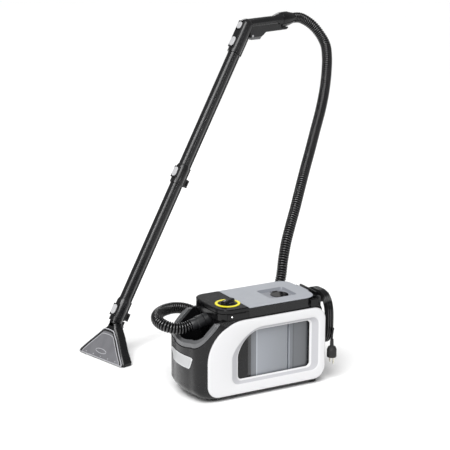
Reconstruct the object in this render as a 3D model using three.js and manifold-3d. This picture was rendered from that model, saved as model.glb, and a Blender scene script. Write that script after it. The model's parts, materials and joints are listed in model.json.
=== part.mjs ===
// Spot extractor: a suction and spray body with lift-out tanks, a hose, and a two-tube floor wand.
// Millimetres. +X runs to the rear, -Y is the side with the plug, +Z is up, and the floor is z = 0.
import * as THREE from 'three';
import { mergeVertices } from 'three/addons/utils/BufferGeometryUtils.js';
import Module from 'manifold-3d';

const wasm = await Module();
wasm.setup();

// ---- driving dimensions ----
const GAP = 0.35; // clearance between pieces that touch
const HALF_WIDTH = 100;
const FRAME_DEPTH = 15;
const NOSE_X = -233;
const FRAME = { x0: -189, x1: 219, z0: 15.5, z1: 243 };
const WINDOW = { x0: -82, x1: 168, z0: 58, z1: 204 };
const RECESS_MARGIN = 28; // how far the sloped border reaches out from the window
const BAY = { x0: -46, x1: 173, y: 80, z0: 40 };
const DECK_Z = 246; // top of the body, under the console and the tank collar
const LID = { x0: -140, x1: 191, y: 93, split: -46.6, z0: 275.6, z1: 280 };
const RIM = { z: 160, slope: 0.92, height: 14 }; // the slanted mouth of the hose bay
const KNOB = { x: -85, y: -30.5, ring: 38, turn: 28 };
const HOSE_RADIUS = 18;
const CABLE_RADIUS = 3.5;
const COIL = { x: 248, y: -11, z: 188, halfWidth: 72, halfHeight: 86, deep: 26, thick: 24, square: 0.72 };
const WAND = { heading: 14, tilt: 32.8, tube: 18, collar: 22, joint: 474, foot: [-231.1, 433.9, 124.6] };

// the row's origin: the middle of the floor area that the machine and its wand cover
const FLOOR_MIDDLE = [104, 271, 0];

// ---- finishes ----
const finishes = {
  black: { color: 0x1c1d1f, roughness: 0.45, metalness: 0 },
  charcoal: { color: 0x2a2b2e, roughness: 0.6, metalness: 0 },
  gloss: { color: 0x0b0b0d, roughness: 0.12, metalness: 0 },
  white: { color: 0xf1f1f0, roughness: 0.35, metalness: 0 },
  lid: { color: 0x9b9da2, roughness: 0.5, metalness: 0 },
  silver: { color: 0x8d8f92, roughness: 0.35, metalness: 0.3 },
  plate: { color: 0xc9cbcc, roughness: 0.3, metalness: 0.4 },
  yellow: { color: 0xe9dc1c, roughness: 0.4, metalness: 0 },
  smoke: { color: 0x76797f, roughness: 0.2, metalness: 0 },
  clearTank: { color: 0x9a9da3, roughness: 0.2, metalness: 0 },
  button: { color: 0xb9bbbd, roughness: 0.45, metalness: 0 },
  rubber: { color: 0x161616, roughness: 0.85, metalness: 0 },
  steel: { color: 0xb8babd, roughness: 0.3, metalness: 1 },
  brass: { color: 0xc7a558, roughness: 0.35, metalness: 1 },
  filter: { color: 0xd8d6cc, roughness: 0.95, metalness: 0 },
  light: { color: 0xffffff, roughness: 0.2, metalness: 0 },
};

// ---- solids ----
function solid(geometry) {
  const bare = new THREE.BufferGeometry();
  bare.setAttribute('position', geometry.getAttribute('position'));
  if (geometry.index) bare.setIndex(geometry.index);
  const merged = mergeVertices(bare, 1e-3);
  const mesh = new wasm.Mesh({
    numProp: 3,
    vertProperties: new Float32Array(merged.getAttribute('position').array),
    triVerts: new Uint32Array(merged.index.array),
  });
  return new wasm.Manifold(mesh);
}

function geometryOf(body) {
  const mesh = body.getMesh();
  const indexed = new THREE.BufferGeometry();
  indexed.setAttribute('position', new THREE.BufferAttribute(mesh.vertProperties, 3));
  indexed.setIndex(new THREE.BufferAttribute(mesh.triVerts, 1));
  const flat = indexed.toNonIndexed();
  flat.computeVertexNormals();
  return flat;
}

const join = (...bodies) => wasm.Manifold.union(bodies);
const cut = (body, ...tools) => tools.reduce((rest, tool) => rest.subtract(tool), body);
const common = (a, b) => a.intersect(b);

function block(x0, x1, y0, y1, z0, z1) {
  const box = new THREE.BoxGeometry(x1 - x0, y1 - y0, z1 - z0);
  return solid(box.translate((x0 + x1) / 2, (y0 + y1) / 2, (z0 + z1) / 2));
}

// an upright cylinder, or a cone when the top radius differs
function drum(radius, z0, z1, { x = 0, y = 0, sides = 24, top = radius } = {}) {
  const shape = new THREE.CylinderGeometry(top, radius, z1 - z0, sides);
  return solid(shape.rotateX(Math.PI / 2).translate(x, y, (z0 + z1) / 2));
}

// a plate of a 2-D shape, z0 to z1, with an optional bevel
function plate(shape, z0, z1, bevel = 0, curveSegments = 8) {
  const options = { depth: z1 - z0 - 2 * bevel, bevelEnabled: bevel > 0, curveSegments };
  Object.assign(options, { bevelSize: bevel, bevelThickness: bevel, bevelOffset: -bevel, bevelSegments: 1 });
  return solid(new THREE.ExtrudeGeometry(shape, options).translate(0, 0, z0 + bevel));
}

// a side profile in X and Z, swept from y0 to y1
function profile(shape, y0, y1, bevel = 0, curveSegments = 8) {
  return plate(shape, -y1, -y0, bevel, curveSegments).rotate([90, 0, 0]);
}

function polygon(points) {
  return new THREE.Shape(points.map(([x, y]) => new THREE.Vector2(x, y)));
}

function roundedRect(x0, x1, y0, y1, radius) {
  const shape = new THREE.Shape();
  shape.moveTo(x0 + radius, y0);
  shape.lineTo(x1 - radius, y0);
  shape.absarc(x1 - radius, y0 + radius, radius, -Math.PI / 2, 0);
  shape.lineTo(x1, y1 - radius);
  shape.absarc(x1 - radius, y1 - radius, radius, 0, Math.PI / 2);
  shape.lineTo(x0 + radius, y1);
  shape.absarc(x0 + radius, y1 - radius, radius, Math.PI / 2, Math.PI);
  shape.lineTo(x0, y0 + radius);
  shape.absarc(x0 + radius, y0 + radius, radius, Math.PI, 1.5 * Math.PI);
  return shape;
}

// a skin over rings that all have the same number of points; the ends are capped or joined to each other
function loft(rings, endless = false) {
  const count = rings[0].length;
  const points = rings.flat();
  const faces = [];
  const spans = endless ? rings.length : rings.length - 1;
  for (let i = 0; i < spans; i += 1) {
    const low = i * count;
    const high = ((i + 1) % rings.length) * count;
    for (let j = 0; j < count; j += 1) {
      const k = (j + 1) % count;
      faces.push(low + j, low + k, high + k, low + j, high + k, high + j);
    }
  }
  if (!endless) {
    for (const [start, flip] of [[0, true], [points.length - count, false]]) {
      const ring = points.slice(start, start + count);
      const middle = ring.reduce((sum, p) => sum.add(p), new THREE.Vector3()).divideScalar(count);
      points.push(middle);
      for (let j = 0; j < count; j += 1) {
        const pair = flip ? [start + ((j + 1) % count), start + j] : [start + j, start + ((j + 1) % count)];
        faces.push(points.length - 1, ...pair);
      }
    }
  }
  const geometry = new THREE.BufferGeometry().setFromPoints(points);
  geometry.setIndex(faces);
  const body = solid(geometry);
  return body.volume() > 0 ? body : solid(geometry.setIndex(faces.reverse()));
}

// a round or oval bar along a curve, with closed ends
function bar(curve, radiusA, radiusB = radiusA, sides = 10, steps = 24) {
  const section = new THREE.Shape();
  section.absellipse(0, 0, radiusA, radiusB, 0, 2 * Math.PI);
  const options = { steps, extrudePath: curve, bevelEnabled: false, curveSegments: sides };
  const corners = section.getSpacedPoints(sides).slice(0, -1);
  return solid(new THREE.ExtrudeGeometry(new THREE.Shape(corners), options));
}

// the points of a closed path: one for each straight side, and a set number for each curved one
function corners(path, steps = 6) {
  return path.curves.flatMap((curve) => {
    if (curve.type === 'LineCurve') return curve.getLength() > 1e-6 ? [curve.getPoint(0)] : [];
    const count = curve.type === 'CubicBezierCurve' ? 2 * steps : steps;
    return curve.getPoints(count).slice(0, -1);
  });
}

const vec = (p) => new THREE.Vector3(...p);
const smoothPath = (points) => new THREE.CatmullRomCurve3(points.map(vec), false, 'centripetal');

// a hollow round sleeve between two z levels
function sleeve(outer, inner, z0, z1, sides = 24) {
  return cut(drum(outer, z0, z1, { sides }), drum(inner, z0 - 1, z1 + 1, { sides }));
}

// ---- the scene graph ----
const machine = new THREE.Group();
machine.position.set(...FLOOR_MIDDLE.map((v) => -v));
const wand = new THREE.Group();
machine.add(wand);

function add(name, body, finish, group = machine) {
  const mesh = new THREE.Mesh(geometryOf(body), new THREE.MeshStandardMaterial(finishes[finish]));
  mesh.name = name;
  group.add(mesh);
}

// ---- outlines of the side frames ----
// a rounded side outline whose upper front corner is one long sweep
function sideOutline({ x0, x1, z0, z1, corner, sweepZ, sweepX, pull }) {
  const path = new THREE.Path();
  path.moveTo(x0, sweepZ);
  path.bezierCurveTo(x0, sweepZ + pull[0], sweepX - pull[1], z1, sweepX, z1);
  path.lineTo(x1 - corner, z1);
  path.absarc(x1 - corner, z1 - corner, corner, Math.PI / 2, 0, true);
  path.lineTo(x1, z0 + corner);
  path.absarc(x1 - corner, z0 + corner, corner, 0, -Math.PI / 2, true);
  path.lineTo(x0 + corner, z0);
  path.absarc(x0 + corner, z0 + corner, corner, -Math.PI / 2, -Math.PI, true);
  path.closePath();
  return path;
}

const frameOutline = (inset) => sideOutline({
  x0: FRAME.x0 + inset,
  x1: FRAME.x1 - inset,
  z0: FRAME.z0 + inset,
  z1: FRAME.z1 - inset,
  corner: 40 - inset,
  sweepZ: 125,
  sweepX: -61,
  pull: [65 - inset / 2, 79 - inset / 2],
});

const windowOutline = (grow, growZ = grow) => sideOutline({
  x0: WINDOW.x0 - grow,
  x1: WINDOW.x1 + grow,
  z0: WINDOW.z0 - growZ,
  z1: WINDOW.z1 + growZ,
  corner: 13 + grow * 0.4,
  sweepZ: 127,
  sweepX: -4,
  pull: [24 + grow * 0.2, 47],
});

const ringAt = (path, y) => corners(path).map((p) => new THREE.Vector3(p.x, y, p.y));

function sideFrame(side) {
  const face = side * HALF_WIDTH;
  const inner = side * (HALF_WIDTH - FRAME_DEPTH);
  const rings = [
    ringAt(frameOutline(0), inner),
    ringAt(frameOutline(0), face - side * 6),
    ringAt(frameOutline(1.8), face - side * 1.8),
    ringAt(frameOutline(6), face),
    ringAt(windowOutline(RECESS_MARGIN, 12), face),
    ringAt(windowOutline(2, 2), face - side * 6.5),
    ringAt(windowOutline(0), face - side * 8.5),
    ringAt(windowOutline(0), inner),
  ];
  return loft(rings, true);
}

// ---- body ----
// the body's outline in plan at one height: a bowed nose and rounded corners
function planRing(front, rear, half, z, bow = 10, frontRadius = 46, rearRadius = 28) {
  const path = new THREE.Path();
  path.moveTo(rear, -half + rearRadius);
  path.lineTo(rear, half - rearRadius);
  path.absarc(rear - rearRadius, half - rearRadius, rearRadius, 0, Math.PI / 2);
  path.lineTo(front + bow + frontRadius, half);
  path.quadraticCurveTo(front + bow, half, front + bow, half - frontRadius);
  path.quadraticCurveTo(front - bow * 0.4, 0, front + bow, -half + frontRadius);
  path.quadraticCurveTo(front + bow, -half, front + bow + frontRadius, -half);
  path.lineTo(rear - rearRadius, -half);
  path.absarc(rear - rearRadius, -half + rearRadius, rearRadius, -Math.PI / 2, 0);
  return corners(path, 9).map((p) => new THREE.Vector3(p.x, p.y, z));
}

// the full outer shape of the body, shrunk by inset
function hull(inset, z0, z1) {
  const levels = [[6, 38, 12, 12], [14, 23, 8, 8], [26, 9, 3, 4], [44, 0, 1, 1]];
  const rings = levels.map(([z, nose, side, tail]) => [Math.max(z, z0), nose, side, tail]);
  rings.push([232, 0, 1, 1], [DECK_Z, 2, 7, 4], [z1, 2, 7, 4]);
  return loft(rings.filter(([z], i) => i === 0 || z > rings[i - 1][0]).map(([z, nose, side, tail]) => planRing(
    NOSE_X + nose + inset, FRAME.x1 - 1 - tail - inset, HALF_WIDTH - side - inset, z,
  )));
}

// everything above the slanted mouth of the hose bay, raised by lift
function aboveRim(lift, rearX) {
  const low = NOSE_X - 40;
  const zAt = (x) => RIM.z + lift + RIM.slope * (x - NOSE_X);
  return profile(polygon([[low, zAt(low)], [rearX, zAt(rearX)], [rearX, 400], [low, 400]]), -150, 150);
}

const HOSE_BAY = { floor: 118, rearX: -134, wall: 9 };

// the open pocket that the hose starts from
function hoseBay(wall = HOSE_BAY.wall) {
  const pocket = loft([0, 14, 150].map((rise) => planRing(
    NOSE_X + wall + (rise ? 0 : 12), -60, HALF_WIDTH - 1 - wall - (rise ? 0 : 12), HOSE_BAY.floor + rise,
  )));
  const besideFrames = [-1, 1].map((side) => {
    const edges = [side * (HALF_WIDTH - FRAME_DEPTH - 3.5), side * 150].sort((a, b) => a - b);
    return block(FRAME.x0 - 4, 0, edges[0], edges[1], 0, 400);
  });
  return cut(common(pocket, block(-300, HOSE_BAY.rearX, -150, 150, 0, 400)), ...besideFrames);
}

function bodyShell() {
  const frames = [-1, 1].map((side) => {
    const outline = new THREE.Shape(frameOutline(-1).getPoints(12));
    const edges = [side * (HALF_WIDTH - FRAME_DEPTH - GAP), side * 160].sort((a, b) => a - b);
    return profile(outline, edges[0], edges[1]);
  });
  const room = block(-222, -50, -80, 80, 0, HOSE_BAY.floor - 5);
  const tower = block(HOSE_BAY.rearX + 5, -50, -80, 80, 0, DECK_Z - 4);
  const bay = block(BAY.x0, BAY.x1, -BAY.y, BAY.y, BAY.z0, 300);
  const underBay = block(-49, BAY.x1, -80, 80, 0, BAY.z0 - 4);
  const wellBack = block(BAY.x1 + 4, FRAME.x1 - 7, -62, 62, 0, DECK_Z - 4);
  const sideWindow = profile(new THREE.Shape(windowOutline(1.5).getPoints(8)), -150, 150);
  const tankWindow = common(sideWindow, block(BAY.x0, BAY.x1, -150, 150, 0, 300));
  const shaftHole = drum(9, DECK_Z - 10, DECK_Z + 10, { x: KNOB.x, y: KNOB.y, sides: 24 });
  const socketHole = hoseAxisDrum(21.5, -20, 40);
  const gland = solid(new THREE.CylinderGeometry(7, 7, 30, 20).rotateZ(Math.PI / 2)).translate([214, 35, 84]);
  const nose = cut(hull(0, 9, DECK_Z), hoseBay(), aboveRim(0, HOSE_BAY.rearX));
  return cut(nose, ...frames, roundRoom(room), tower, bay, underBay, wellBack, tankWindow, shaftHole, socketHole, gland);
}

// the machine room follows the rounded nose
function roundRoom(room) {
  return common(room, hull(6, 0, DECK_Z).translate([0, 0, -6]));
}

// the hose socket leans: its axis rises toward the rear
const HOSE_PORT = { x: -136, z: 231.5, rise: 12 };

function hoseAxis(body) {
  return body.rotate([0, 90 - HOSE_PORT.rise, 0]).translate([HOSE_PORT.x, 0, HOSE_PORT.z]);
}

function hoseAxisDrum(radius, from, to, sides = 24) {
  return hoseAxis(drum(radius, from, to, { sides }));
}

function buildBody() {
  add('body_shell', bodyShell(), 'black');
  const pan = cut(hull(8, 6, 12.5), block(-400, 400, -400, 400, 8.6, 400));
  add('base_pan', pan, 'charcoal');
  for (const [name, side] of [['side_frame_near', -1], ['side_frame_far', 1]]) add(name, sideFrame(side), 'white');
  const rim = cut(hull(1.5, 9, 300), hoseBay(10), aboveRim(RIM.height, HOSE_BAY.rearX));
  const low = aboveRim(GAP, HOSE_BAY.rearX - GAP);
  const keep = [-1, 1].map((side) => {
    const outline = new THREE.Shape(frameOutline(-4).getPoints(10));
    const edges = [side * (HALF_WIDTH - FRAME_DEPTH - 3), side * 160].sort((a, b) => a - b);
    return profile(outline, edges[0], edges[1]);
  });
  const top = block(-400, 0, -200, 200, DECK_Z - 3, 400);
  add('hose_bay_rim', cut(common(rim, low), ...keep, top), 'silver');
  const badge = common(cut(hull(-1.6, 9, 200), hull(-GAP, 8, 201)), badgeWindow());
  add('badge_plate', badge, 'plate');
}

const BADGE = { lower: 52, upper: 66, z0: 104.5, z1: 142, corner: 4 }; // half widths at its foot and head

// a four-sided window on the nose, used to lift out the badge plate
function badgeWindow() {
  const { lower, upper, z0, z1, corner } = BADGE;
  const shape = polygon([
    [-lower, z0 + corner], [-lower + corner, z0], [lower - corner, z0], [lower, z0 + corner],
    [upper, z1 - corner], [upper - corner, z1], [corner - upper, z1], [-upper, z1 - corner],
  ]);
  return plate(shape, 0, 65).rotate([90, 0, 90]).translate([-260, 0, 0]);
}


// ---- console: the black front of the top deck, with the rotary switch ----
function deckOutline(front, rear, inset) {
  const half = LID.y - inset;
  const path = new THREE.Path();
  const radius = 42 - inset;
  path.moveTo(rear, -half + (rear > 0 ? radius : 0));
  if (rear > 0) {
    path.quadraticCurveTo(rear + 5, 0, rear, half - radius);
    path.quadraticCurveTo(rear, half, rear - radius, half);
  } else {
    path.lineTo(rear, half);
  }
  if (front < -100) {
    path.lineTo(front + radius, half);
    path.quadraticCurveTo(front, half, front, half - radius);
    path.quadraticCurveTo(front - 5, 0, front, -half + radius);
    path.quadraticCurveTo(front, -half, front + radius, -half);
  } else {
    path.lineTo(front, half);
    path.lineTo(front, -half);
  }
  path.lineTo(rear > 0 ? rear - radius : rear, -half);
  if (rear > 0) path.quadraticCurveTo(rear, -half, rear, -half + radius);
  return new THREE.Shape(path.getPoints(8));
}

const FASCIA = { x0: -118, x1: -54, z0: 250.5, z1: 264 };
const CONSOLE_STEP_Z = 266; // where the console steps out under its top

function buildConsole() {
  const lower = plate(deckOutline(LID.x0, LID.split - GAP, 2), DECK_Z + GAP, CONSOLE_STEP_Z);
  const upper = plate(deckOutline(LID.x0, LID.split - GAP, 0), CONSOLE_STEP_Z, LID.z1, 2.5);
  const hollow = block(-120, LID.split - 5, -82, 82, 0, LID.z1 - 4);
  const fasciaRoom = block(FASCIA.x0 - GAP, FASCIA.x1 + GAP, -120, -88, FASCIA.z0 - GAP, FASCIA.z1 + GAP);
  const knobHole = drum(7.5, 200, 300, { x: KNOB.x, y: KNOB.y, sides: 24 });
  const dish = drum(KNOB.ring + 1, LID.z1 - 2, 300, { x: KNOB.x, y: KNOB.y, sides: 48 });
  const port = hoseAxisDrum(22, -40, 60);
  add('console_cover', cut(join(lower, upper), hollow, fasciaRoom, knobHole, dish, port), 'black');
  const pane = block(FASCIA.x0, FASCIA.x1, -95.5, -88.4, FASCIA.z0, FASCIA.z1);
  const shape = plate(deckOutline(LID.x0, 0, 0.2), FASCIA.z0, FASCIA.z1);
  const lampRoom = solid(new THREE.CylinderGeometry(2.4, 2.4, 40, 16)).translate([-104, -90, 257.2]);
  add('fascia_panel', cut(common(pane, shape), lampRoom), 'gloss');
  const lamp = solid(new THREE.CylinderGeometry(2, 2, 4.5, 16)).translate([-104, -91, 257.2]);
  add('status_lamp', lamp, 'light');
  const at = { x: KNOB.x, y: KNOB.y, sides: 36 };
  const ringBody = cut(drum(KNOB.ring, LID.z1 - 2 + GAP, LID.z1 + 1.6, at), drum(KNOB.ring - 8, 200, 300, at));
  add('knob_ring', ringBody, 'yellow');
  const disc = drum(KNOB.ring - 8 - GAP, LID.z1 - 2 + GAP, LID.z1 + 1, at);
  const ridge = profile(roundedRect(-27, 27, -6, 11, 5.5), -9.5, 9.5, 2.5, 4);
  const dome = drum(25, 0, 5, { sides: 36, top: 19 });
  const turned = join(ridge, dome).trimByPlane([0, 0, 1], 0).rotate([0, 0, KNOB.turn]);
  const grip = turned.translate([KNOB.x, KNOB.y, LID.z1 + 0.9]);
  const stem = drum(5.5, DECK_Z - 6, LID.z1, { ...at, sides: 20 });
  add('rotary_knob', join(disc, grip, stem), 'black');
  const switchBody = block(KNOB.x - 15, KNOB.x + 15, KNOB.y - 15, KNOB.y + 15, 221, DECK_Z - 11);
  const spindleHole = drum(6, 225, 300, { ...at, sides: 20 });
  add('switch_block', cut(join(switchBody, drum(8.5, 230, 239.5, { ...at, sides: 20 })), spindleHole), 'charcoal');
}

// ---- tanks and their lid, which lift out together ----
const WALL = 2.4;
const TANKS = { y: BAY.y - 1, z0: BAY.z0 + 1, z1: 252 };

function tank(x0, x1) {
  const outer = plate(roundedRect(x0, x1, -TANKS.y, TANKS.y, 5), TANKS.z0, TANKS.z1, 0, 3);
  const inner = roundedRect(x0 + WALL, x1 - WALL, -TANKS.y + WALL, TANKS.y - WALL, 4);
  return cut(outer, plate(inner, TANKS.z0 + WALL, 400, 0, 3));
}

const DIVIDE_X = 99;
const HINGE = { x: 195.5, z: 274 };

// a rod along the hinge line at the rear of the tank lid
function hingeRod(radius, halfLength) {
  const rod = new THREE.CylinderGeometry(radius, radius, 2 * halfLength, 16);
  return solid(rod).translate([HINGE.x, 0, HINGE.z]);
}

const CAP = { x: 105.5, y: -12, radius: 27.5, hingeY: 18, hingeZ: 275.2 };
const RECESS = { x0: 51, x1: 145, y0: -53, y1: 36, depth: 7, slope: 6 };

function buildTanks() {
  const dirty = tank(BAY.x0 + 1, DIVIDE_X - 2);
  const guide = cut(
    block(-42.5, -24, 20, 50, TANKS.z0 + WALL, 225),
    block(-45, -26, 22, 48, TANKS.z0 + WALL - 1, 300),
  );
  add('dirty_water_tank', join(dirty, guide), 'clearTank');
  add('fresh_water_tank', tank(DIVIDE_X + 2, BAY.x1 - 1.5), 'smoke');
  const collarShape = deckOutline(LID.split + GAP, LID.x1, 2);
  const collar = plate(collarShape, TANKS.z1 + GAP, LID.z0 - GAP);
  const wells = [[BAY.x0 + 8, DIVIDE_X - 23], [DIVIDE_X + 5, BAY.x1 - 8]].map(
    ([x0, x1]) => plate(roundedRect(x0, x1, -70, 70, 8), 200, 300, 0, 3),
  );
  const tubRoom = recessTub(1.2, -GAP);
  const skirtOuter = plate(collarShape, DECK_Z + GAP, TANKS.z1 + 2);
  const tankRoom = block(BAY.x0 - 2, BAY.x1 + 2, -TANKS.y - GAP, TANKS.y + GAP, 0, TANKS.z1 + GAP);
  const latchRoom = block(LATCH.x0 - 1, LATCH.x1 + 1, -120, -84, 200, 300);
  const ears = [-39, 31].map((y) => block(HINGE.x - 12.5, HINGE.x + 3.5, y, y + 8, 262, HINGE.z + 3.5));
  const knuckleRoom = block(HINGE.x - 12.5, 220, -30.5, 30.5, HINGE.z - 4.5, 300);
  const shell = cut(join(collar, skirtOuter), tankRoom, ...wells, latchRoom, tubRoom);
  add('tank_collar', cut(join(shell, ...ears), knuckleRoom, hingeRod(2 + GAP, 38 + GAP)), 'charcoal');
  const sealBand = sealRing(0.4, LID.z0 - 0.05, LID.z0 + 2);
  add('lid_seal', sealBand, 'rubber');
  buildLid();
  const ball = new THREE.SphereGeometry(9, 14, 8);
  add('float_ball', solid(ball.translate(-9, 35, 70)), 'filter');
  const cage = cut(sleeve(12.5, 10.5, 55, 200, 20), block(-2, 2, -20, 20, 62, 190), block(-20, 20, -2, 2, 62, 190));
  add('float_cage', join(cage, drum(12.5, 197, 200, { sides: 20 })).translate([-9, 35, 0]), 'charcoal');
}

// the soft ring between the lid and the collar, or the groove that holds it when play is 0
function sealRing(play, z0, z1) {
  const ring = (inset) => roundedRect(BAY.x0 + inset, BAY.x1 - inset, -79 + inset, 79 - inset, 10);
  return cut(plate(ring(2.6 + play), z0, z1, 0, 3), plate(ring(7.4 - play), 200, 300, 0, 3));
}

// the tub that hangs under the lid to hold its recess
function recessTub(grow, lower) {
  const { x0, x1, y0, y1, depth } = RECESS;
  const shape = roundedRect(x0 - 3 - grow, x1 + 3 + grow, y0 - 3 - grow, y1 + 3 + grow, 6);
  return plate(shape, LID.z1 - depth - 2.5 + lower - grow, LID.z0 + 1);
}

// the recess itself: sloping sides down to a flat floor
function recessSpace() {
  const { x0, x1, y0, y1, depth, slope } = RECESS;
  const levels = [[LID.z1 - depth, 0], [LID.z1, slope], [LID.z1 + 10, slope]];
  return loft(levels.map(([z, grow]) => {
    const inset = slope - grow;
    const shape = roundedRect(x0 + inset, x1 - inset, y0 + inset, y1 - inset, 10 - inset);
    return corners(shape, 4).map((p) => new THREE.Vector3(p.x, p.y, z));
  }));
}

// a rod along the fill cap's hinge, at the far side of the cap
function capRod(radius, halfLength) {
  const rod = new THREE.CylinderGeometry(radius, radius, 2 * halfLength, 12).rotateZ(Math.PI / 2);
  return solid(rod).translate([CAP.x, CAP.hingeY, CAP.hingeZ]);
}

function buildLid() {
  const slab = plate(deckOutline(LID.split + GAP, LID.x1, 0), LID.z0, LID.z1, 1.8);
  const opening = drum(CAP.radius + 0.5, 200, 300, { x: CAP.x, y: CAP.y, sides: 40 });
  const knuckle = block(HINGE.x - 10.5, HINGE.x + 3.5, -30, 30, HINGE.z - 3, HINGE.z + 4);
  const earRooms = [-39.5, 30.5].map((y) => block(HINGE.x - 14, 220, y, y + 9, 200, HINGE.z + 4));
  const floorZ = LID.z1 - RECESS.depth;
  const lugs = [[-13, -8.4], [8.4, 13]].map(
    ([x0, x1]) => block(CAP.x + x0, CAP.x + x1, CAP.hingeY - 2, CAP.hingeY + 3.5, floorZ - 1, CAP.hingeZ + 1.6),
  );
  const body = cut(join(cut(slab, ...earRooms), knuckle, recessTub(0, 0)), recessSpace(), opening);
  const bores = [hingeRod(2 + GAP, 60), capRod(1.45, 16)];
  add('tank_lid', cut(join(body, ...lugs), sealRing(0, 200, LID.z0 + 2.3), ...bores), 'lid');
  const cap = drum(CAP.radius, floorZ - 1.8, floorZ + 2, { x: CAP.x, y: CAP.y, sides: 40 });
  const ear = block(CAP.x - 8, CAP.x + 8, CAP.hingeY - 4, CAP.hingeY + 1.2, CAP.hingeZ - 1.6, CAP.hingeZ + 1.2);
  add('fill_cap', join(cap, ear, capRod(1.1, 12)), 'gloss');
  add('lid_hinge_pin', hingeRod(2, 38), 'steel');
}

// ---- latch on the near side that holds the tank lid down ----
const LATCH = { x0: 166, x1: 192 };

function buildLatch() {
  const hook = polygon([
    [-97, 249], [-92.5, 249], [-92.5, 268.5], [-87, 268.5], [-87, 271], [-94, 272.5], [-97, 270],
  ]);
  const swept = plate(hook, LATCH.x0, LATCH.x1).rotate([90, 0, 90]);
  add('lid_latch', swept, 'gloss');
}

// ---- rear: the hooks, the wound cable and its plug ----
function buildRear() {
  const rear = FRAME.x1;
  const arm = block(rear, COIL.x + 17, -28, 6, 233, 244);
  const lip = block(COIL.x + 14.5, COIL.x + 20, -38, 16, 233, 262);
  const crest = block(rear + 4, rear + 10, -30, 62, 236, 270);
  const wall = block(rear, rear + 10, -44, 62, 226, 258);
  add('upper_cable_hook', join(wall, arm, lip, crest), 'black');
  const lowArm = block(rear, COIL.x + 17, -28, 6, 128.5, 138);
  const lowLip = block(COIL.x + 14.5, COIL.x + 20, -36, 14, 110, 138);
  const lowWall = block(rear, rear + 6, -44, 22, 112, 148);
  add('lower_cable_hook', join(lowWall, lowArm, lowLip), 'black');
  add('cable_clip', block(rear, rear + 8, -56, -45, 232, 262), 'silver');
  const boss = solid(new THREE.CylinderGeometry(6.6, 6.6, 16, 20).rotateZ(Math.PI / 2)).translate([218, 35, 84]);
  const bore = solid(new THREE.CylinderGeometry(3.9, 3.9, 60, 16).rotateZ(Math.PI / 2)).translate([218, 35, 84]);
  add('cable_gland', cut(boss, bore), 'rubber');
  const squared = (value) => Math.sign(value) * Math.abs(value) ** COIL.square;
  const ring = (halfWidth, halfHeight, x) => [...Array(36).keys()].map((i) => {
    const angle = (i / 36) * 2 * Math.PI;
    return [new THREE.Vector2(halfWidth * squared(Math.cos(angle)), halfHeight * squared(Math.sin(angle))), x];
  });
  const place = ([p, x]) => new THREE.Vector3(COIL.x + x, COIL.y + p.x, COIL.z + p.y);
  const { halfWidth: w, halfHeight: h, deep, thick } = COIL;
  const section = [
    [0, -deep / 2 + 4], [4, -deep / 2], [thick - 4, -deep / 2], [thick, -deep / 2 + 4],
    [thick, deep / 2 - 4], [thick - 4, deep / 2], [4, deep / 2], [0, deep / 2 - 4],
  ];
  const coil = loft(section.map(([inset, x]) => ring(w - inset, h - inset, x).map(place)), true);
  add('mains_cable_coil', coil, 'rubber');
  const lead = smoothPath([[226.4, 35, 84], [234, 35, 84], [243, 31, 86], [247, 20, 92], [247, 6, 98]]);
  const drop = smoothPath([[252, -88, 190], [253, -90, 175], [248.2, -90, 150], [247.5, -90, 131.7]]);
  add('mains_cable_lead', bar(lead, CABLE_RADIUS, CABLE_RADIUS, 8, 12), 'rubber');
  add('mains_cable_drop', bar(drop, CABLE_RADIUS, CABLE_RADIUS, 8, 8), 'rubber');
  const outline = [[0, 74], [14.5, 74], [15, 76], [15, 98], [12, 106], [6, 110], [5, 131], [0, 131]];
  const lathe = new THREE.LatheGeometry(outline.map(([r, z]) => new THREE.Vector2(r, z)), 24);
  const pins = [-1, 1].map((side) => [side, drum(2.4, 55, 84, { sides: 12 }).translate([0, side * 9.5, 0])]);
  const sockets = [-1, 1].map((side) => drum(2.4 + GAP, 50, 84 + GAP, { sides: 12 }).translate([0, side * 9.5, 0]));
  add('plug_body', cut(solid(lathe.rotateX(Math.PI / 2)), ...sockets).translate([247.5, -90, 0]), 'rubber');
  for (const [side, pin] of pins) {
    add(side < 0 ? 'plug_pin_near' : 'plug_pin_far', pin.translate([247.5, -90, 0]), 'brass');
  }
}

// ---- hose from the body to the handle ----
const HOSE_ROUTE = [
  [-195.1, 0, 218.9], [-216, 0.5, 215.4], [-241, 8, 216], [-262, 25, 221], [-270, 52, 226], [-263, 84, 230],
  [-240, 115, 232], [-208, 137, 232], [-168, 149, 229], [-125, 153, 217], [-75, 155, 187], [-15, 157, 146],
  [50, 158, 121], [115, 159, 128], [165, 162, 160], [200, 167, 205], [224, 176, 258], [242, 192, 312],
  [264, 212, 358], [294, 236, 405], [325, 260, 450], [363, 292, 505], [402, 325, 560], [444, 360, 616],
  [485, 395, 672], [528, 432, 729], [575, 483, 783.5], [607, 522, 834], [630, 556, 880], [643, 587, 917],
  [638, 609, 946], [616, 624, 979], [592, 630.5, 998], [569, 631.5, 1009], [549.5, 628.4, 1012],
  [530.5, 623.7, 1012.2],
];

function buildHose() {
  add('suction_hose', bar(smoothPath(HOSE_ROUTE), HOSE_RADIUS, HOSE_RADIUS, 10, 76), 'rubber');
  add('hose_socket', hoseAxis(sleeve(21, 16.5, -16, 18)), 'charcoal');
  const cuff = new THREE.LatheGeometry([
    [13, -59], [15, -59.5], [17.5, -59.5], [18.5, -57], [18.5, -40], [21, -38], [21, -18], [16, -17], [16, 14], [13, 14],
    [13, -59],
  ].map(([r, z]) => new THREE.Vector2(r, z)), 24);
  add('hose_connector', hoseAxis(solid(cuff.rotateX(Math.PI / 2))), 'charcoal');
}

// ---- machinery inside the body ----
const TURBINE = { x: -118, y: 8, z: 15 };

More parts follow.
